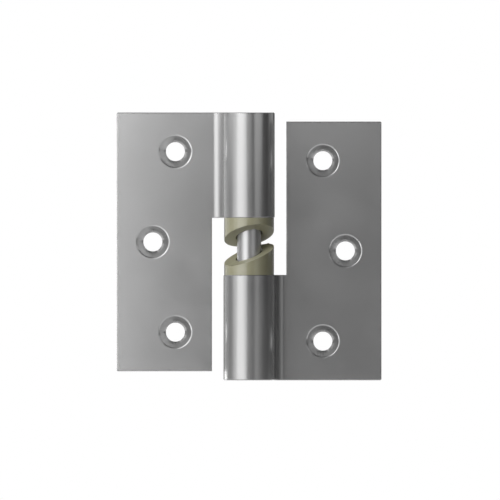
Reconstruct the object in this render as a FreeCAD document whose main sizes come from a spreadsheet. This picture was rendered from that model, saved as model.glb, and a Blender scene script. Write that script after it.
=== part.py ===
import FreeCAD, Part
import Sketcher
import math
import os

# Rising butt hinge, drawn as it stands in the photograph: both leaves opened flat.
# Frame: the pin's axis is Z, up. The origin is on that axis at the hinge's mid height.
# The viewer stands on the -Y side, where the screws go in. The leaves' backs face +Y.
# Angles round the pin are counted from +X, counter-clockwise from above.

# Driving dimensions, in millimetres and degrees
SIZES = {
    "hingeHeight": 89.0,      # top of the upper leaf to the foot of the lower leaf
    "leafHeight": 86.0,
    "leafReach": 44.0,        # pin axis to a leaf's outer edge
    "leafInner": 12.35,       # pin axis to the leaf's edge that faces the other knuckle
    "sheetThick": 3.0,
    "cornerRound": 0.5,       # the leaf's four corners
    "edgeBreak": 0.3,         # broken edges of the pressing
    "knuckleLong": 35.0,
    "knuckleRadius": 8.5,     # outside of the rolled knuckle
    "throatRadius": 3.6,      # inside of the bend between leaf and knuckle
    "tabRoot": 2.0,           # how far the rolled tab runs into the flat, all one sheet
    "seamAngle": 48.0,        # from straight back to the rolled edge of the sheet
    "screwHole": 6.3,
    "screwSink": 10.7,        # countersink across its rim, before the rim is rounded
    "sinkAngle": 82.0,
    "sinkRound": 0.8,         # rounded rim of a countersink
    "outerHoles": 60.0,       # spacing of the outer two holes
    "outerReach": 24.5,       # pin axis to the outer holes
    "middleReach": 32.0,      # pin axis to the middle hole
    "pinWide": 8.0,
    "pinChamfer": 0.6,
    "pinFit": 0.05,           # radial running clearance of the pin
    "bushFit": 0.05,          # radial clearance of a bush or plug in its knuckle
    "collarRadius": 8.25,
    "camTilt": 24.2,          # slope of the oblique cam faces
    "camMargin": 1.0,         # how far the blank stands past the cam, and the cut past the blank
    "upperCollar": 5.85,      # mean height of the upper bush's collar
    "lowerCollar": 6.7,       # mean height of the lower bush's collar
    "mouthRelief": 0.45,      # radial relief of the bore below the cam face
    "mouthDeep": 1.5,         # how far the relief runs into the knuckle
    "mouthTaper": 0.5,        # height of the taper from the relief to the bore
    "bushLong": 30.0,         # length of a bush inside its knuckle
    "bushChamfer": 0.5,
    "detentRise": 0.28,       # ridge on the cam's crest and groove in its valley
    "detentWide": 1.6,
    "keyWide": 1.0,           # key in the knuckle's seam, which stops the bush turning
    "keyReach": 6.25,         # pin axis to the key's tip
    "keyRoot": 0.6,           # how deep the key starts inside the shank
    "keyShort": 1.0,          # the key stops this far above the shank's end
    "keyAngle": 55.0,         # from straight back to the key's middle
    "upperCrest": 114.0,      # where the upper cam's crest points
    "lowerCrest": 39.5,       # where the lower cam's crest points
    "plugThick": 4.0,
    "plugSunk": 0.4,          # the plugs sit just inside the knuckle ends
    "plugChamfer": 0.4,
    "pinTop": 33.3,           # height of the pin's top end above the origin
}

document = FreeCAD.newDocument("rising_butt_hinge")
sheet = document.addObject("Spreadsheet::Sheet", "sizes")
for row, (alias, value) in enumerate(SIZES.items(), start=1):
    sheet.set("A%d" % row, alias)
    sheet.set("B%d" % row, str(value))
    sheet.setAlias("B%d" % row, alias)
document.recompute()


def size(alias):
    return float(sheet.get(alias))


def addBody(name):
    body = document.addObject("PartDesign::Body", name)
    body.Label = name
    return body


def addSketch(body, name, role, raised=None):
    """A sketch on one of the body's own planes, raised along its normal by a formula."""
    sketch = body.newObject("Sketcher::SketchObject", name)
    plane = [f for f in body.Origin.OriginFeatures if f.Role == role][0]
    sketch.AttachmentSupport = [(plane, "")]
    sketch.MapMode = "FlatFace"
    if raised:
        sketch.setExpression("AttachmentOffset.Base.z", raised)
    return sketch


def drive(sketch, name, formula, *constraint):
    """A named dimension of the sketch, driven by a formula on the sheet."""
    index = sketch.addConstraint(Sketcher.Constraint(*constraint))
    sketch.renameConstraint(index, name)
    sketch.setExpression("Constraints." + name, formula)


def addLoop(sketch, points):
    """A closed outline of straight lines, joined end to end."""
    corners = [FreeCAD.Vector(x, y, 0) for x, y in points]
    lines = []
    for start, end in zip(corners, corners[1:] + corners[:1]):
        lines.append(sketch.addGeometry(Part.LineSegment(start, end), False))
    for line, following in zip(lines, lines[1:] + lines[:1]):
        sketch.addConstraint(Sketcher.Constraint("Coincident", line, 2, following, 1))
    return lines


def squareUp(sketch, across, upright):
    """Keeps some lines of the sketch horizontal and others vertical."""
    for line in across:
        sketch.addConstraint(Sketcher.Constraint("Horizontal", line))
    for line in upright:
        sketch.addConstraint(Sketcher.Constraint("Vertical", line))


def addFeature(body, kind, name, sketch, **formulas):
    feature = body.newObject("PartDesign::" + kind, name)
    feature.Profile = sketch
    for setting, formula in formulas.items():
        feature.setExpression(setting, formula)
    return feature


def edgesWhere(shape, wanted):
    return ["Edge%d" % (n + 1) for n, edge in enumerate(shape.Edges) if wanted(edge)]


def dressEdges(body, name, kind, setting, formula, wanted):
    """A fillet or chamfer on those edges of the body so far that the test picks."""
    document.recompute()
    base = body.Tip
    feature = body.newObject("PartDesign::" + kind, name)
    feature.Base = (base, edgesWhere(base.Shape, wanted))
    feature.setExpression(setting, formula)


def cutDown(body, feature):
    """Stops the run if a cutting feature takes nothing away."""
    document.recompute()
    before = feature.BaseFeature.Shape.Volume
    if feature.Shape.Volume > before - 0.01:
        raise RuntimeError(feature.Name + " cuts nothing from " + body.Name)


# Leaf

def leafPlate(body):
    """The flat of the leaf on the -X side, with its four corners rounded."""
    reach, inner, high = size("leafReach"), size("leafInner"), size("leafHeight")
    top = size("hingeHeight") / 2
    sketch = addSketch(body, "plateOutline", "XZ_Plane", "-sizes.knuckleRadius")
    lines = addLoop(sketch, [(-reach, top - high), (-inner, top - high), (-inner, top), (-reach, top)])
    foot, innerEdge, head, outerEdge = lines
    squareUp(sketch, [foot, head], [innerEdge, outerEdge])
    drive(sketch, "reach", "sizes.leafReach", "DistanceX", outerEdge, 1, -1, 1, reach)
    drive(sketch, "inner", "sizes.leafInner", "DistanceX", innerEdge, 1, -1, 1, inner)
    drive(sketch, "high", "sizes.leafHeight", "DistanceY", innerEdge, 1, innerEdge, 2, high)
    drive(sketch, "top", "sizes.hingeHeight / 2", "DistanceY", -1, 1, head, 1, top)
    addFeature(body, "Pad", "plate", sketch, Length="sizes.sheetThick")
    dressEdges(
        body, "plateCorners", "Fillet", "Radius", "sizes.cornerRound",
        lambda edge: edge.BoundBox.XMax < 0.01 - reach and edge.BoundBox.ZLength < 0.01)


# The bend's centre lies a throat radius in front of the flat and a throat radius outside the knuckle
bendBack = "(sizes.knuckleRadius - sizes.sheetThick - sizes.throatRadius)"
bendAside = "sqrt((sizes.knuckleRadius + sizes.throatRadius)^2 - %s^2)" % bendBack


def bendCentre():
    back = size("knuckleRadius") - size("sheetThick") - size("throatRadius")
    aside = math.sqrt((size("knuckleRadius") + size("throatRadius")) ** 2 - back ** 2)
    return FreeCAD.Vector(-aside, back, 0)


def leafKnuckle(body):
    """The tab that bends forward from the leaf and rolls round the pin, seam at the back."""
    radius, thick = size("knuckleRadius"), size("sheetThick")
    throat = size("throatRadius")
    centre = bendCentre()
    pin = FreeCAD.Vector(0, 0, 0)
    up = FreeCAD.Vector(0, 0, 1)
    toKnuckle = math.atan2(-centre.y, -centre.x)
    seam = math.radians(90 + size("seamAngle"))

    sketch = addSketch(body, "knuckleOutline", "XY_Plane", "sizes.hingeHeight / 2")

    def at(middle, reach, angle):
        return middle + FreeCAD.Vector(reach * math.cos(angle), reach * math.sin(angle), 0)

    def arc(middle, reach, start, end):
        return sketch.addGeometry(Part.ArcOfCircle(Part.Circle(middle, up, reach), start, end), False)

    def line(start, end):
        return sketch.addGeometry(Part.LineSegment(start, end), False)

    left = centre.x - size("tabRoot")
    front = line(FreeCAD.Vector(left, radius - thick, 0), FreeCAD.Vector(centre.x, radius - thick, 0))
    throatIn = arc(centre, throat, toKnuckle, math.pi / 2)
    outside = arc(pin, radius, toKnuckle + math.pi, seam + 2 * math.pi)
    rolledEdge = line(at(pin, radius, seam), at(pin, radius - thick, seam))
    inside = arc(pin, radius - thick, toKnuckle + math.pi, seam + 2 * math.pi)
    throatOut = arc(centre, throat + thick, toKnuckle, math.pi / 2)
    back = line(FreeCAD.Vector(centre.x, radius, 0), FreeCAD.Vector(left, radius, 0))
    root = line(FreeCAD.Vector(left, radius, 0), FreeCAD.Vector(left, radius - thick, 0))

    def join(kind, *ends):
        sketch.addConstraint(Sketcher.Constraint(kind, *ends))

    join("Tangent", front, 2, throatIn, 2)
    join("Tangent", throatIn, 1, outside, 1)
    join("Coincident", outside, 2, rolledEdge, 1)
    join("Coincident", rolledEdge, 2, inside, 2)
    join("Tangent", inside, 1, throatOut, 1)
    join("Tangent", throatOut, 2, back, 1)
    join("Coincident", back, 2, root, 1)
    join("Coincident", root, 2, front, 1)
    join("Coincident", outside, 3, -1, 1)
    join("Coincident", inside, 3, -1, 1)
    join("Horizontal", back)
    join("Vertical", root)
    join("PointOnObject", -1, 1, rolledEdge)
    drive(sketch, "outside", "sizes.knuckleRadius", "Radius", outside, radius)
    drive(sketch, "inside", "sizes.knuckleRadius - sizes.sheetThick", "Radius", inside, radius - thick)
    drive(sketch, "throat", "sizes.throatRadius", "Radius", throatIn, throat)
    drive(sketch, "flush", "sizes.knuckleRadius", "DistanceY", -1, 1, back, 1, radius)
    drive(sketch, "root", bendAside + " + sizes.tabRoot", "DistanceX", root, 1, -1, 1, -left)
    drive(sketch, "seam", "sizes.knuckleRadius * sin(sizes.seamAngle)",
          "DistanceX", outside, 2, -1, 1, radius * math.sin(seam - math.pi / 2))
    knuckle = addFeature(body, "Pad", "knuckle", sketch, Length="sizes.knuckleLong")
    knuckle.Reversed = True


def leafEdges(body):
    """The broken edges of the pressing: the knuckle's inner end, then its front and back outlines."""
    foot = size("hingeHeight") / 2 - size("knuckleLong")
    radii = (size("knuckleRadius"), size("throatRadius"))
    front, back = size("knuckleRadius") - size("sheetThick"), size("knuckleRadius")
    shortest = 1.0   # shorter edges are left over from the knuckle's end, which is done by then

    def lies(edge, side, level):
        box = edge.BoundBox
        low, high = (box.ZMin, box.ZMax) if side == "Z" else (box.YMin, box.YMax)
        return abs(low - level) < 0.01 and abs(high - level) < 0.01

    def isFoot(edge):
        return lies(edge, "Z", foot) and edge.Curve.TypeId == "Part::GeomCircle" and any(
            abs(edge.Curve.Radius - radius) < 0.01 for radius in radii)

    def isOutline(edge, level):
        # the line where the flat runs into the bend is no corner, and stays as it is
        smooth = abs(edge.Length - size("knuckleLong")) < 1.0
        return lies(edge, "Y", level) and edge.Length > shortest and not smooth

    dressEdges(body, "footEdges", "Chamfer", "Size", "sizes.edgeBreak", isFoot)
    dressEdges(body, "frontEdges", "Chamfer", "Size", "sizes.edgeBreak",
               lambda edge: isOutline(edge, front))
    dressEdges(body, "backEdges", "Chamfer", "Size", "sizes.edgeBreak",
               lambda edge: isOutline(edge, back))


def leafHoles(body):
    """Three countersunk screw holes with rounded rims, the middle one further from the pin."""
    middle = (size("hingeHeight") - size("leafHeight")) / 2
    spots = {
        "upper": (-size("outerReach"), middle + size("outerHoles") / 2),
        "centre": (-size("middleReach"), middle),
        "lower": (-size("outerReach"), middle - size("outerHoles") / 2),
    }
    half = "(sizes.hingeHeight - sizes.leafHeight) / 2"
    reaches = {"upper": "sizes.outerReach", "centre": "sizes.middleReach", "lower": "sizes.outerReach"}
    heights = {
        "upper": half + " + sizes.outerHoles / 2",
        "centre": half,
        "lower": "sizes.outerHoles / 2 - " + half,
    }
    sketch = addSketch(body, "holeCentres", "XZ_Plane", "-(sizes.knuckleRadius - sizes.sheetThick)")
    radius = size("screwHole") / 2
    for name, (x, z) in spots.items():
        circle = Part.Circle(FreeCAD.Vector(x, z, 0), FreeCAD.Vector(0, 0, 1), radius)
        index = sketch.addGeometry(circle, False)
        drive(sketch, name + "Wide", "sizes.screwHole / 2", "Radius", index, radius)
        drive(sketch, name + "Reach", reaches[name], "DistanceX", index, 3, -1, 1, -x)
        ends = (-1, 1, index, 3) if z > 0 else (index, 3, -1, 1)
        drive(sketch, name + "High", heights[name], "DistanceY", *ends, abs(z))
    document.recompute()
    holes = addFeature(body, "Hole", "screwHoles", sketch)
    document.recompute()
    holes.Threaded = False
    holes.DepthType = "ThroughAll"
    holes.HoleCutType = "Countersink"
    holes.setExpression("Diameter", "sizes.screwHole")
    holes.setExpression("HoleCutDiameter", "sizes.screwSink")
    holes.setExpression("HoleCutCountersinkAngle", "sizes.sinkAngle")
    cutDown(body, holes)
    front = size("knuckleRadius") - size("sheetThick")
    sink = size("screwSink") / 2
    dressEdges(
        body, "sinkRims", "Fillet", "Radius", "sizes.sinkRound",
        lambda edge: edge.Curve.TypeId == "Part::GeomCircle" and abs(edge.Curve.Radius - sink) < 0.05
        and edge.BoundBox.YMax < front + 0.01)


def makeLeaf(name, turned):
    """The upper leaf, or the same pressing turned over end for end as the lower one."""
    body = addBody(name)
    leafPlate(body)
    leafKnuckle(body)
    leafEdges(body)
    leafHoles(body)
    body.Placement = FreeCAD.Placement(
        FreeCAD.Vector(0, 0, 0), FreeCAD.Rotation(FreeCAD.Vector(0, 1, 0), 180 if turned else 0))
    return body


# Cam bush: drawn cam face up, the crest towards +X, the collar's foot at z = 0

shankFormula = "(sizes.knuckleRadius - sizes.sheetThick - sizes.bushFit)"


def bushBlank(body, collar):
    """The turned form of shank, collar and bore, tall enough for the cam."""
    bore = size("pinWide") / 2 + size("pinFit")
    mouth = size("pinWide") / 2 + size("mouthRelief")
    shank = size("knuckleRadius") - size("sheetThick") - size("bushFit")
    rim, long = size("collarRadius"), size("bushLong")
    tall = size(collar) + rim * math.tan(math.radians(size("camTilt"))) + size("camMargin")
    deep, taper = size("mouthDeep"), size("mouthTaper")
    sketch = addSketch(body, "bushProfile", "XZ_Plane")
    lines = addLoop(sketch, [
        (bore, -long), (shank, -long), (shank, 0), (rim, 0), (rim, tall),
        (mouth, tall), (mouth, -deep), (bore, -deep - taper)])
    foot, wall, seat, side, top, relief, _, borehole = lines
    squareUp(sketch, [foot, seat, top], [wall, side, relief, borehole])
    sketch.addConstraint(Sketcher.Constraint("PointOnObject", seat, 1, -1))
    drive(sketch, "bore", "sizes.pinWide / 2 + sizes.pinFit", "DistanceX", -1, 1, foot, 1, bore)
    drive(sketch, "shank", shankFormula, "DistanceX", -1, 1, wall, 1, shank)
    drive(sketch, "rim", "sizes.collarRadius", "DistanceX", -1, 1, side, 1, rim)
    drive(sketch, "mouth", "sizes.pinWide / 2 + sizes.mouthRelief", "DistanceX", -1, 1, relief, 1, mouth)
    drive(sketch, "long", "sizes.bushLong", "DistanceY", wall, 1, wall, 2, long)
    drive(sketch, "tall", "sizes.%s + sizes.collarRadius * tan(sizes.camTilt) + sizes.camMargin" % collar,
          "DistanceY", side, 1, side, 2, tall)
    drive(sketch, "deep", "sizes.mouthDeep", "DistanceY", relief, 2, -1, 1, deep)
    drive(sketch, "shoulder", "sizes.mouthDeep + sizes.mouthTaper",
          "DistanceY", borehole, 1, -1, 1, deep + taper)
    turning = addFeature(body, "Revolution", "bushTurned", sketch)
    turning.ReferenceAxis = (sketch, ["V_Axis"])
    turning.Angle = 360
    dressEdges(
        body, "shankLead", "Chamfer", "Size", "sizes.bushChamfer",
        lambda edge: edge.BoundBox.ZMax < 0.01 - long and abs(edge.BoundBox.XLength - 2 * shank) < 0.01)


def bushKey(body, crest, upper):
    """The key along the shank, in line with the knuckle's seam."""
    seam = 90 + size("keyAngle") if upper else 90 - size("keyAngle")
    angle = math.radians(size(crest) - seam if upper else seam - size(crest))
    formula = "sizes.%s - 90 - sizes.keyAngle" if upper else "90 - sizes.keyAngle - sizes.%s"
    shank = size("knuckleRadius") - size("sheetThick") - size("bushFit")
    reach, root, half = size("keyReach"), shank - size("keyRoot"), size("keyWide") / 2
    along = FreeCAD.Vector(math.cos(angle), math.sin(angle), 0)
    across = FreeCAD.Vector(-math.sin(angle), math.cos(angle), 0)
    corners = [along * root - across * half, along * reach - across * half,
               along * reach + across * half, along * root + across * half]
    sketch = addSketch(body, "keyOutline", "XY_Plane")
    flank, tip, otherFlank, foot = addLoop(sketch, [(c.x, c.y) for c in corners])
    spine = sketch.addGeometry(Part.LineSegment(FreeCAD.Vector(0, 0, 0), along * reach), True)
    sketch.addConstraint(Sketcher.Constraint("Coincident", spine, 1, -1, 1))
    sketch.addConstraint(Sketcher.Constraint("Symmetric", tip, 1, tip, 2, spine, 2))
    for line in (flank, otherFlank):
        sketch.addConstraint(Sketcher.Constraint("Parallel", line, spine))
    for line in (tip, foot):
        sketch.addConstraint(Sketcher.Constraint("Perpendicular", line, spine))
    drive(sketch, "wide", "sizes.keyWide", "Distance", tip, 2 * half)
    drive(sketch, "reach", "sizes.keyReach", "Distance", spine, reach)
    drive(sketch, "flank", "sizes.keyReach - %s + sizes.keyRoot" % shankFormula,
          "Distance", flank, reach - root)
    drive(sketch, "turn", formula % crest, "Angle", spine, angle)
    key = addFeature(body, "Pad", "key", sketch, Length="sizes.bushLong - sizes.keyShort")
    key.Reversed = True


def camCut(body, collar, side):
    """Cuts one half of the cam along its slope: the crest keeps a ridge, the valley gets a groove."""
    towards = 1 if side == "crest" else -1
    rim = size("collarRadius") + size("camMargin")
    mean, rise, half = size(collar), size("detentRise"), size("detentWide") / 2
    top = mean + 2 * rim
    sketch = addSketch(body, side + "Section", "YZ_Plane")
    lines = addLoop(sketch, [
        (-rim, mean), (-half, mean), (0, mean + towards * rise), (half, mean), (rim, mean),
        (rim, top), (-rim, top)])
    left, climb, _, right, rightSide, roof, leftSide = lines
    squareUp(sketch, [left, roof], [rightSide, leftSide])
    upright = -2
    sketch.addConstraint(Sketcher.Constraint("PointOnObject", climb, 2, upright))
    sketch.addConstraint(Sketcher.Constraint("Symmetric", left, 2, right, 1, upright))
    sketch.addConstraint(Sketcher.Constraint("Symmetric", left, 1, right, 2, upright))
    peak = (climb, 1, climb, 2) if towards > 0 else (climb, 2, climb, 1)
    drive(sketch, "mean", "sizes." + collar, "DistanceY", -1, 1, left, 1, mean)
    drive(sketch, "rise", "sizes.detentRise", "DistanceY", *peak, rise)
    drive(sketch, "half", "sizes.detentWide / 2", "DistanceX", -1, 1, right, 1, half)
    drive(sketch, "rim", "sizes.collarRadius + sizes.camMargin", "DistanceX", -1, 1, right, 2, rim)
    drive(sketch, "clear", "2 * (sizes.collarRadius + sizes.camMargin)",
          "DistanceY", rightSide, 1, rightSide, 2, 2 * rim)
    cut = addFeature(body, "Pocket", side + "Cut", sketch)
    cut.Type = "Length"
    cut.setExpression("Length", "2 * (sizes.collarRadius + sizes.camMargin)")
    cut.UseCustomVector = True
    cut.Direction = FreeCAD.Vector(towards, 0, towards * math.tan(math.radians(size("camTilt"))))
    cut.setExpression("Direction.z", "%d * tan(sizes.camTilt)" % towards)
    cutDown(body, cut)


def makeCamBush(name, collar, crest, upper):
    """A bush, stood up in the lower knuckle or turned over in the upper one, crest as named."""
    body = addBody(name)
    bushBlank(body, collar)
    bushKey(body, crest, upper)
    for side in ("crest", "valley"):
        camCut(body, collar, side)
    spin = FreeCAD.Rotation(FreeCAD.Vector(0, 0, 1), size(crest))
    flip = FreeCAD.Rotation(FreeCAD.Vector(1, 0, 0), 180 if upper else 0)
    body.Placement = FreeCAD.Placement(FreeCAD.Vector(0, 0, 0), spin * flip)
    body.setExpression(
        "Placement.Base.z", "%d * (sizes.hingeHeight / 2 - sizes.knuckleLong)" % (1 if upper else -1))
    return body


# Pin and plugs

def makeRod(name, wide, low, high, chamfer):
    """A round rod between two heights, with a chamfer at each end."""
    body = addBody(name)
    sketch = addSketch(body, name + "Outline", "XY_Plane", low)
    radius = size("pinWide") / 2
    circle = Part.Circle(FreeCAD.Vector(0, 0, 0), FreeCAD.Vector(0, 0, 1), radius)
    index = sketch.addGeometry(circle, False)
    sketch.addConstraint(Sketcher.Constraint("Coincident", index, 3, -1, 1))
    drive(sketch, "radius", wide, "Radius", index, radius)
    addFeature(body, "Pad", name + "Pad", sketch, Length="%s - (%s)" % (high, low))
    dressEdges(
        body, name + "Ends", "Chamfer", "Size", chamfer,
        lambda edge: edge.Curve.TypeId == "Part::GeomCircle")
    return body


plugOuter = "(sizes.hingeHeight / 2 - sizes.plugSunk)"
plugInner = "(sizes.hingeHeight / 2 - sizes.plugSunk - sizes.plugThick)"
parts = [
    makeLeaf("upper_leaf", turned=False),
    makeLeaf("lower_leaf", turned=True),
    makeCamBush("upper_cam_bush", "upperCollar", "upperCrest", upper=True),
    makeCamBush("lower_cam_bush", "lowerCollar", "lowerCrest", upper=False),
    makeRod("hinge_pin", "sizes.pinWide / 2", "-" + plugInner, "sizes.pinTop", "sizes.pinChamfer"),
    makeRod("upper_end_plug", shankFormula, plugInner, plugOuter, "sizes.plugChamfer"),
    makeRod("lower_end_plug", shankFormula, "-" + plugOuter, "-" + plugInner, "sizes.plugChamfer"),
]

document.recompute()
for thing in document.Objects:
    if "Invalid" in thing.State or "Error" in thing.State:
        raise RuntimeError("%s failed: %s" % (thing.Name, thing.State))

os.makedirs("parts", exist_ok=True)
for part in parts:
    shape = part.Shape
    if shape.isNull() or not shape.isValid() or len(shape.Solids) != 1:
        raise RuntimeError(part.Label + " isn't one valid solid")
    print("%-16s %9.1f mm3  %s" % (part.Label, shape.Volume, shape.BoundBox))
for part in parts:
    part.Shape.exportStep("parts/%s.step" % part.Label)
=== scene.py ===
import math

import bmesh
import bpy
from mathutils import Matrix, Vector


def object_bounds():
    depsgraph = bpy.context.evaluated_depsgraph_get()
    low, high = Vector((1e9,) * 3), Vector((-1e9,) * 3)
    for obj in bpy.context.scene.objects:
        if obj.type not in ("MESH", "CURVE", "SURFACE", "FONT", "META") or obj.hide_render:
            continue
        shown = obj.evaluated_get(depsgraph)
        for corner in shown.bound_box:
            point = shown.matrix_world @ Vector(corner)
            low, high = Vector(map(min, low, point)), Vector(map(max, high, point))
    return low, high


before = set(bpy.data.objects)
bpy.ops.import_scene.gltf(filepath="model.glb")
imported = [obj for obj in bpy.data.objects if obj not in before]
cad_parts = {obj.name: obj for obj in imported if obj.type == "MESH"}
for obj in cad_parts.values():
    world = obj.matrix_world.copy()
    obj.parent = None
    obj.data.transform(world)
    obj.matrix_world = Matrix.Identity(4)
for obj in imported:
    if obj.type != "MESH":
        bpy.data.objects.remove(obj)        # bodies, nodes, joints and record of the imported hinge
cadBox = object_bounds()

mm = 0.001
white = (1.0, 1.0, 1.0, 1.0)
noiseSpan = (0.3, 0.7)   # where nearly all of a noise texture's values lie
print("frame loaded:", len(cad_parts), "nodes")


# helpers shared by the materials

def linearColour(hexColour):
    # sRGB hex to the linear colour that a shader wants
    channels = [int(hexColour[k:k + 2], 16) / 255 for k in (1, 3, 5)]
    return [c / 12.92 if c <= 0.04045 else ((c + 0.055) / 1.055) ** 2.4 for c in channels] + [1.0]


def addNode(tree, kind, settings=None, inputs=None):
    # one node, with its settings, and its inputs as values, other nodes or their outputs
    node = tree.nodes.new(kind)
    for name, value in (settings or {}).items():
        setattr(node, name, value)
    for name, value in (inputs or {}).items():
        source = value.outputs[0] if isinstance(value, bpy.types.Node) else value
        if isinstance(source, bpy.types.NodeSocket):
            tree.links.new(source, node.inputs[name])
        else:
            node.inputs[name].default_value = source
    return node


def newMaterial(name):
    material = bpy.data.materials.new(name)
    material.use_nodes = True
    material.node_tree.nodes.clear()
    return material, material.node_tree


def output(tree, shader):
    addNode(tree, "ShaderNodeOutputMaterial", None, {"Surface": shader})


def dress(nodeNames, material):
    for name in nodeNames:
        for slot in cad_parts[name].material_slots:
            slot.material = material


# satin stainless: cold-rolled sheet, brushed along the pin's axis after it was rolled up.
# The eye gets broad soft reflections, with a grain seen only close to.
satin = {
    "colour": "#b6b6b6",
    "roughness": 0.25,
    "roughnessSpread": 0.02,
    "metallic": 0.70,         # the rest scatters widely, as the tails of a brushed surface do
    "grainWidth": 0.16,       # mm across a brush line
    "grainLength": 9.0,       # mm along a brush line
    "grainHeight": 0.004,     # mm
    "grainDetail": 2.0,       # finer layers of the noise
    "mottleSize": 14.0,       # mm
    "turnedRoughness": 0.19,  # in the countersinks and on the broken edges, which are machined afterwards
    "turnedBelow": 0.97,      # where the normal's part along the screw's axis is less than this
    "leafFrom": 16.0,         # mm from the pin's axis, past the knuckle
}


def satinStainless():
    material, tree = newMaterial("satinStainless")
    coordinates = addNode(tree, "ShaderNodeTexCoord").outputs
    place = coordinates["Object"]
    across = 1 / (satin["grainWidth"] * mm)
    along = 1 / (satin["grainLength"] * mm)
    stretched = addNode(tree, "ShaderNodeMapping", None,
                        {"Vector": place, "Scale": (across, across, along)})
    grain = addNode(tree, "ShaderNodeTexNoise", None,
                    {"Vector": stretched, "Scale": 1.0, "Detail": satin["grainDetail"]})
    mottle = addNode(tree, "ShaderNodeTexNoise", None,
                     {"Vector": place, "Scale": 1 / (satin["mottleSize"] * mm)})
    brushedRoughness = addNode(tree, "ShaderNodeMapRange", None, {
        "Value": mottle, "From Min": noiseSpan[0], "From Max": noiseSpan[1],
        "To Min": satin["roughness"] - satin["roughnessSpread"],
        "To Max": satin["roughness"] + satin["roughnessSpread"]})

    # countersinks and broken edges: on the leaf, and tilted away from its two sides
    facing = addNode(tree, "ShaderNodeSeparateXYZ", None, {0: coordinates["Normal"]})
    spot = addNode(tree, "ShaderNodeSeparateXYZ", None, {0: place})
    alongScrew = addNode(tree, "ShaderNodeMath", {"operation": "ABSOLUTE"}, {0: facing.outputs["Y"]})
    tilted = addNode(tree, "ShaderNodeMath", {"operation": "LESS_THAN"},
                     {0: alongScrew, 1: satin["turnedBelow"]})
    aside = addNode(tree, "ShaderNodeMath", {"operation": "ABSOLUTE"}, {0: spot.outputs["X"]})
    onLeaf = addNode(tree, "ShaderNodeMath", {"operation": "GREATER_THAN"},
                     {0: aside, 1: satin["leafFrom"] * mm})
    turned = addNode(tree, "ShaderNodeMath", {"operation": "MULTIPLY"}, {0: tilted, 1: onLeaf})
    brushed = addNode(tree, "ShaderNodeMath", {"operation": "SUBTRACT"}, {0: 1.0, 1: turned})
    roughness = addNode(tree, "ShaderNodeMix", {"data_type": "FLOAT"},
                        {0: turned, 2: brushedRoughness, 3: satin["turnedRoughness"]})
    bump = addNode(tree, "ShaderNodeBump", None, {
        "Height": grain, "Distance": satin["grainHeight"] * mm, "Strength": brushed})
    shader = addNode(tree, "ShaderNodeBsdfPrincipled", None, {
        "Base Color": linearColour(satin["colour"]), "Metallic": satin["metallic"],
        "Roughness": roughness, "Normal": bump})
    output(tree, shader)
    return material


# nylon: injection moulded, natural colour. The mould's polish gives the barrel a crisp sheen,
# and the faces that run on each other are dull.
nylon = {
    "colour": "#aeab90",
    "tintSpread": 0.03,
    "roughness": 0.12,
    "coat": 1.0,
    "coatRoughness": 0.03,
    "dullRoughness": 0.45,
    "dullCoat": 0.0,
    "dullFrom": 0.5,            # where the normal's part along the pin is more than this
    "ior": 1.53,
    "depth": (1.0, 0.9, 0.7),   # mm that red, green and blue light wander inside
    "depthShare": 0.1,
    "flowSize": 6.0,            # mm
    "grainSize": 0.25,          # mm
    "grainHeight": 0.003,       # mm
}


def mouldedNylon():
    material, tree = newMaterial("mouldedNylon")
    coordinates = addNode(tree, "ShaderNodeTexCoord").outputs
    place = coordinates["Object"]
    flow = addNode(tree, "ShaderNodeTexNoise", None,
                   {"Vector": place, "Scale": 1 / (nylon["flowSize"] * mm)})
    tint = addNode(tree, "ShaderNodeMapRange", None, {
        "Value": flow, "From Min": noiseSpan[0], "From Max": noiseSpan[1],
        "To Min": 1 - nylon["tintSpread"], "To Max": 1 + nylon["tintSpread"]})
    colour = addNode(tree, "ShaderNodeVectorMath", {"operation": "SCALE"},
                     {0: linearColour(nylon["colour"])[:3], "Scale": tint})

    # the cam faces and the ends look along the pin
    facing = addNode(tree, "ShaderNodeSeparateXYZ", None, {0: coordinates["Normal"]})
    alongPin = addNode(tree, "ShaderNodeMath", {"operation": "ABSOLUTE"}, {0: facing.outputs["Z"]})
    dull = addNode(tree, "ShaderNodeMath", {"operation": "GREATER_THAN"},
                   {0: alongPin, 1: nylon["dullFrom"]})
    roughness = addNode(tree, "ShaderNodeMix", {"data_type": "FLOAT"},
                        {0: dull, 2: nylon["roughness"], 3: nylon["dullRoughness"]})
    coat = addNode(tree, "ShaderNodeMix", {"data_type": "FLOAT"},
                   {0: dull, 2: nylon["coat"], 3: nylon["dullCoat"]})
    grain = addNode(tree, "ShaderNodeTexNoise", None,
                    {"Vector": place, "Scale": 1 / (nylon["grainSize"] * mm)})
    bump = addNode(tree, "ShaderNodeBump", None,
                   {"Height": grain, "Distance": nylon["grainHeight"] * mm})
    shader = addNode(tree, "ShaderNodeBsdfPrincipled", None, {
        "Base Color": colour, "Roughness": roughness, "IOR": nylon["ior"],
        "Coat Weight": coat, "Coat Roughness": nylon["coatRoughness"],
        "Subsurface Weight": nylon["depthShare"], "Subsurface Radius": nylon["depth"],
        "Subsurface Scale": mm, "Normal": bump})
    output(tree, shader)
    return material


# ground steel: a plain round pin, centreless ground, so its fine lines run round it
ground = {
    "colour": "#c5c5c6",
    "roughness": 0.25,
    "metallic": 0.60,
    "lineHeight": 0.0015,   # mm
    "lineSpacing": 0.12,    # mm
    "lineLength": 25.0,     # mm round the pin
}


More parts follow.
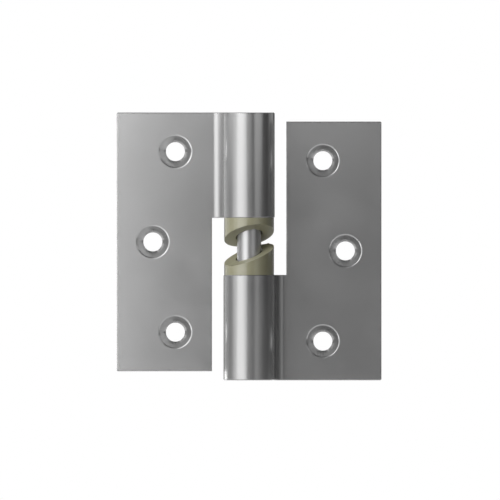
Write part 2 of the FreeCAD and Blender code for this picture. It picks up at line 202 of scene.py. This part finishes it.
def groundSteel():
    material, tree = newMaterial("groundSteel")
    place = addNode(tree, "ShaderNodeTexCoord").outputs["Object"]
    around = 1 / (ground["lineLength"] * mm)
    along = 1 / (ground["lineSpacing"] * mm)
    stretched = addNode(tree, "ShaderNodeMapping", None,
                        {"Vector": place, "Scale": (around, around, along)})
    lines = addNode(tree, "ShaderNodeTexNoise", None, {"Vector": stretched, "Scale": 1.0})
    bump = addNode(tree, "ShaderNodeBump", None,
                   {"Height": lines, "Distance": ground["lineHeight"] * mm})
    shader = addNode(tree, "ShaderNodeBsdfPrincipled", None, {
        "Base Color": linearColour(ground["colour"]), "Metallic": ground["metallic"],
        "Roughness": ground["roughness"], "Normal": bump})
    output(tree, shader)
    return material


dress(["upper_leaf", "lower_leaf"], satinStainless())
dress(["upper_cam_bush", "lower_cam_bush", "upper_end_plug", "lower_end_plug"], mouldedNylon())
dress(["hinge_pin"], groundSteel())
print("materials made")


# the broken edges shade as if they were rounded, because a finished pressing has no hard creases,
# and the flats keep one exact normal all over
softEdge = {
    "weldWithin": 0.001,  # mm
    "sharpFrom": 50.0,    # degrees between two faces, from which their edge stays sharp
    "leansUpTo": 60.0,    # degrees that a face may take on from a larger neighbour
    "aligned": 0.99999,   # how nearly a flat's normal lies along an axis
    "leafFrom": 15.0,     # mm from the pin's axis, where the leaf proper begins
}


def softenEdges(nodeNames):
    group = bpy.data.node_groups.new("softEdges", "GeometryNodeTree")
    group.interface.new_socket("Geometry", in_out="INPUT", socket_type="NodeSocketGeometry")
    group.interface.new_socket("Geometry", in_out="OUTPUT", socket_type="NodeSocketGeometry")
    above, below = {"operation": "GREATER_THAN"}, {"operation": "LESS_THAN"}
    larger, product = {"operation": "MAXIMUM"}, {"operation": "MULTIPLY"}
    perFace = {"data_type": "FLOAT_VECTOR", "domain": "FACE"}
    perPoint = {"data_type": "FLOAT_VECTOR", "domain": "POINT"}

    source = addNode(group, "NodeGroupInput")
    whole = addNode(group, "GeometryNodeMergeByDistance", None,
                    {"Geometry": source, "Distance": softEdge["weldWithin"] * mm})
    smooth = addNode(group, "GeometryNodeSetShadeSmooth", None, {"Geometry": whole})
    edgeAngle = addNode(group, "GeometryNodeInputMeshEdgeAngle")
    soft = addNode(group, "ShaderNodeMath", below,
                   {0: edgeAngle.outputs["Unsigned Angle"], 1: math.radians(softEdge["sharpFrom"])})
    creased = addNode(group, "GeometryNodeSetShadeSmooth", {"domain": "EDGE"},
                      {"Geometry": smooth, "Shade Smooth": soft})

    # which faces are flats: the knuckle's ends, and the leaf's two sides and outline
    normals = addNode(group, "GeometryNodeInputNormal").outputs
    faceNormal = addNode(group, "GeometryNodeFieldOnDomain", perFace, {0: normals["True Normal"]})
    unsigned = addNode(group, "ShaderNodeVectorMath", {"operation": "ABSOLUTE"}, {0: faceNormal})
    parts = addNode(group, "ShaderNodeSeparateXYZ", None, {0: unsigned}).outputs
    position = addNode(group, "GeometryNodeInputPosition")
    place = addNode(group, "GeometryNodeFieldOnDomain", perFace, {0: position})
    apart = addNode(group, "ShaderNodeVectorMath", {"operation": "ABSOLUTE"}, {0: place})
    aside = addNode(group, "ShaderNodeSeparateXYZ", None, {0: apart}).outputs["X"]
    onEnd = addNode(group, "ShaderNodeMath", above, {0: parts["Z"], 1: softEdge["aligned"]})
    squarest = addNode(group, "ShaderNodeMath", larger, {0: parts["X"], 1: parts["Y"]})
    isSquare = addNode(group, "ShaderNodeMath", above, {0: squarest, 1: softEdge["aligned"]})
    isLeaf = addNode(group, "ShaderNodeMath", above, {0: aside, 1: softEdge["leafFrom"] * mm})
    onSide = addNode(group, "ShaderNodeMath", product, {0: isSquare, 1: isLeaf})
    flat = addNode(group, "ShaderNodeMath", larger, {0: onEnd, 1: onSide})

    # at every corner the normal of the largest face there, and always that of a flat
    area = addNode(group, "GeometryNodeInputMeshFaceArea")
    squared = addNode(group, "ShaderNodeMath", product, {0: area, 1: area})
    weight = addNode(group, "ShaderNodeMath", larger, {0: squared, 1: flat})
    weighted = addNode(group, "ShaderNodeVectorMath", {"operation": "SCALE"},
                       {0: faceNormal, "Scale": weight})
    ofFace = addNode(group, "GeometryNodeFieldOnDomain", perFace, {0: weighted})
    ofPoint = addNode(group, "GeometryNodeFieldOnDomain", perPoint, {0: ofFace})
    shared = addNode(group, "ShaderNodeVectorMath", {"operation": "NORMALIZE"}, {0: ofPoint})
    lean = addNode(group, "ShaderNodeVectorMath", {"operation": "DOT_PRODUCT"},
                   {0: shared, 1: faceNormal})
    leansLittle = addNode(group, "ShaderNodeMath", above,
                          {0: lean.outputs["Value"], 1: math.cos(math.radians(softEdge["leansUpTo"]))})
    rounded = addNode(group, "GeometryNodeSwitch", {"input_type": "VECTOR"},
                      {"Switch": leansLittle, "False": normals["Normal"], "True": shared})
    chosen = addNode(group, "GeometryNodeSwitch", {"input_type": "VECTOR"},
                     {"Switch": flat, "False": rounded, "True": faceNormal})
    shaded = addNode(group, "GeometryNodeSetMeshNormal", {"mode": "FREE", "domain": "CORNER"},
                     {"Mesh": creased, "Custom Normal": chosen})
    addNode(group, "NodeGroupOutput", None, {0: shaded})
    for name in nodeNames:
        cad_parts[name].modifiers.new("softEdges", "NODES").node_group = group


softenEdges(["upper_leaf", "lower_leaf"])
print("edges softened")


# backdrop: a pale floor that fades to white, under a white world
studio = {
    "floorDrop": 52.0,        # mm from the hinge's foot to the floor
    "floorSize": 3.0,         # m from its middle to its edge
    "floorColour": "#c8c8c8",
    "floorGlow": 0.3,         # added to the cards' light for the camera and for reflections
    "whiteFrom": 0.05,        # m from the hinge, where the floor starts to fade to white
    "whiteTo": 0.22,          # nearer than the cards, so that their pools of light don't show
}


def backdropSeen(tree):
    # 1 for what the camera sees directly, in metal or through glass, and 0 for the light on the hinge
    rays = addNode(tree, "ShaderNodeLightPath").outputs
    shown = rays["Is Camera Ray"]
    for kind in ("Is Glossy Ray", "Is Transmission Ray"):
        shown = addNode(tree, "ShaderNodeMath", {"operation": "MAXIMUM"}, {0: shown, 1: rays[kind]})
    return shown


def addWorld():
    world = bpy.data.worlds.new("studio")
    world.use_nodes = True
    tree = world.node_tree
    tree.nodes.clear()
    seen = backdropSeen(tree)
    glow = addNode(tree, "ShaderNodeBackground", None, {"Color": white, "Strength": seen})
    addNode(tree, "ShaderNodeOutputWorld", None, {"Surface": glow})
    bpy.context.scene.world = world


def addFloor():
    mesh = bpy.data.meshes.new("floor")
    bed = bmesh.new()
    bmesh.ops.create_grid(bed, x_segments=1, y_segments=1, size=studio["floorSize"])
    bmesh.ops.translate(bed, verts=bed.verts, vec=(0, 0, cadBox[0].z - studio["floorDrop"] * mm))
    bed.to_mesh(mesh)
    bed.free()
    floor = bpy.data.objects.new("floor", mesh)
    bpy.context.scene.collection.objects.link(floor)
    material, tree = newMaterial("paleFloor")
    paper = addNode(tree, "ShaderNodeBsdfDiffuse", None, {"Color": linearColour(studio["floorColour"])})
    seen = backdropSeen(tree)
    lift = addNode(tree, "ShaderNodeMath", {"operation": "MULTIPLY"}, {0: seen, 1: studio["floorGlow"]})
    glow = addNode(tree, "ShaderNodeEmission", None, {"Color": white, "Strength": lift})
    near = addNode(tree, "ShaderNodeAddShader", None, {0: paper, 1: glow})
    far = addNode(tree, "ShaderNodeEmission", None, {"Color": white, "Strength": seen})
    place = addNode(tree, "ShaderNodeTexCoord").outputs["Object"]
    away = addNode(tree, "ShaderNodeVectorMath", {"operation": "LENGTH"}, {0: place}).outputs["Value"]
    fade = addNode(tree, "ShaderNodeMapRange", {"interpolation_type": "SMOOTHSTEP"}, {
        "Value": away, "From Min": studio["whiteFrom"], "From Max": studio["whiteTo"]})
    output(tree, addNode(tree, "ShaderNodeMixShader", None, {"Fac": fade, 1: near, 2: far}))
    mesh.materials.append(material)


# soft light. Every card stands upright round the hinge: its two ends in plan, and bands of its height,
# each with its foot, its head (all mm) and its glow.
cards = {
    "keyInner": {"start": (-83.5, -201.7), "end": (-42, -226), "bands": [(-96, 60, 1.33), (60, 180, 2.44)]},
    "keyCore": {"start": (-199, -134), "end": (-83.5, -201.7), "bands": [(-96, 60, 1.83), (60, 180, 3.21)]},
    "keyOuter": {"start": (-300, -75), "end": (-199, -134), "bands": [(-96, 60, 0.87), (60, 180, 2.01)]},
    "keyAbove": {"start": (-300, -75), "end": (-42, -226), "bands": [(180, 500, 0.48)]},
    "side": {"start": (-323, 105), "end": (-330, -82), "bands": [(-96, 40, 0.14), (40, 500, 1.16)]},
    "back": {"start": (-224, 319), "end": (-344, 183), "bands": [(-96, 40, 3.20), (40, 500, 0.60)]},
    "rimLeft": {"start": (270, 322), "end": (364, 210), "bands": [(-96, 40, 0.61)]},
    "rimRight": {"start": (364, 210), "end": (414, 73), "bands": [(-96, 40, 0.17)]},
    "rimAbove": {"start": (270, 322), "end": (414, 73), "bands": [(40, 500, 0.57)]},
    "fillLeft": {"start": (178, -381), "end": (297, -297), "bands": [(-96, 40, 0.29)]},
    "fillRight": {"start": (297, -297), "end": (364, -210), "bands": [(-96, 40, 0.09)]},
    "fillAbove": {"start": (178, -381), "end": (364, -210), "bands": [(40, 180, 1.09)]},
    "front": {"start": (-73, -414), "end": (73, -414), "bands": [(-96, 40, 0.07), (40, 180, 0.77)]},
}


def addLight(name, place, faces, width, height, glow):
    # a soft box in metres; glow is the brightness of its face, where 1 shows as white
    light = bpy.data.lights.new(name, "AREA")
    light.shape = "RECTANGLE"
    light.size = width
    light.size_y = height
    light.energy = glow * math.pi * width * height
    holder = bpy.data.objects.new(name, light)
    holder.location = place
    holder.rotation_euler = faces.to_track_quat("-Z", "Y").to_euler()
    holder.visible_camera = False
    bpy.context.scene.collection.objects.link(holder)


def addCards():
    for name, card in cards.items():
        start = Vector((*card["start"], 0)) * mm
        end = Vector((*card["end"], 0)) * mm
        middle = (start + end) / 2
        inward = (end - start).cross(Vector((0, 0, 1)))
        inward *= -1 if inward.dot(middle) > 0 else 1
        for low, high, glow in card["bands"]:
            place = middle + Vector((0, 0, (low + high) / 2)) * mm
            addLight(name, place, inward, (end - start).length, (high - low) * mm, glow)


# a small bright lamp, which puts the fine lights on the edges
lamp = {
    "azimuth": -45.0,    # degrees, 0 towards the camera
    "elevation": 30.0,
    "distance": 1.0,     # m
    "width": 0.06,       # m
    "glow": 19.6,
}


def addLamp():
    azimuth = math.radians(lamp["azimuth"])
    elevation = math.radians(lamp["elevation"])
    bearing = Vector((math.sin(azimuth) * math.cos(elevation),
                      -math.cos(azimuth) * math.cos(elevation), math.sin(elevation)))
    addLight("topLamp", bearing * lamp["distance"], -bearing, lamp["width"], lamp["width"], lamp["glow"])


# black boards, which the steel reflects as its dark bands: a ring round the hinge behind the cards, in
# two heights, and a round one above. Only reflections show them.
flags = {
    "radius": 600.0,    # mm
    "low": -96.0,       # mm
    "stepAngle": 10.0,  # degrees a straight stretch
    "colour": "#141414",
    # each from one azimuth to another (degrees, 0 towards the camera), and its head (mm)
    "boards": {"flagFront": (-110.0, 122.0, 1000.0), "flagBehind": (122.0, 250.0, 720.0)},
    "above": 1000.0,    # mm
}


def hangFlag(name, bed, material):
    mesh = bpy.data.meshes.new(name)
    bed.to_mesh(mesh)
    bed.free()
    mesh.materials.append(material)
    board = bpy.data.objects.new(name, mesh)
    board.visible_camera = False
    board.visible_diffuse = False
    board.visible_shadow = False
    bpy.context.scene.collection.objects.link(board)


def addFlags():
    material, tree = newMaterial("blackFelt")
    felt = addNode(tree, "ShaderNodeBsdfDiffuse", None, {"Color": linearColour(flags["colour"])})
    output(tree, felt)
    radius = flags["radius"] * mm
    for name, (first, last, high) in flags["boards"].items():
        azimuth = math.radians(first)
        foot = (radius * math.sin(azimuth), -radius * math.cos(azimuth))
        bed = bmesh.new()
        ends = [bed.verts.new((*foot, level * mm)) for level in (flags["low"], high)]
        upright = bed.edges.new(ends)
        bmesh.ops.spin(bed, geom=[*ends, upright], axis=(0, 0, 1), cent=(0, 0, 0), use_merge=False,
                       angle=math.radians(last - first), steps=round((last - first) / flags["stepAngle"]))
        hangFlag(name, bed, material)
    bed = bmesh.new()
    bmesh.ops.create_circle(bed, cap_ends=True, segments=round(360 / flags["stepAngle"]), radius=radius)
    bmesh.ops.translate(bed, verts=bed.verts, vec=(0, 0, flags["above"] * mm))
    hangFlag("flagAbove", bed, material)


addWorld()
addFloor()
addCards()
addFlags()
addLamp()
print("studio made")


# camera: straight on and without perspective, because the photo shows none
photo = {
    "pixels": 500,                   # along each side
    "mmPerPixel": 0.33243,
    "hingeCentre": (249.1, 246.4),   # pixel where the frame's origin shows
    "distance": 1.0,                 # m
}


def addCamera():
    view = bpy.data.cameras.new("camera")
    view.type = "ORTHO"
    view.ortho_scale = photo["pixels"] * photo["mmPerPixel"] * mm
    middle = photo["pixels"] / 2
    aside = (middle - photo["hingeCentre"][0]) * photo["mmPerPixel"] * mm
    below = (middle - photo["hingeCentre"][1]) * photo["mmPerPixel"] * mm
    camera = bpy.data.objects.new("camera", view)
    camera.location = (aside, -photo["distance"], -below)
    camera.rotation_euler = (math.radians(90), 0, 0)
    bpy.context.scene.collection.objects.link(camera)
    bpy.context.scene.camera = camera


addCamera()
bpy.context.scene.view_settings.view_transform = "Standard"
print("camera placed")
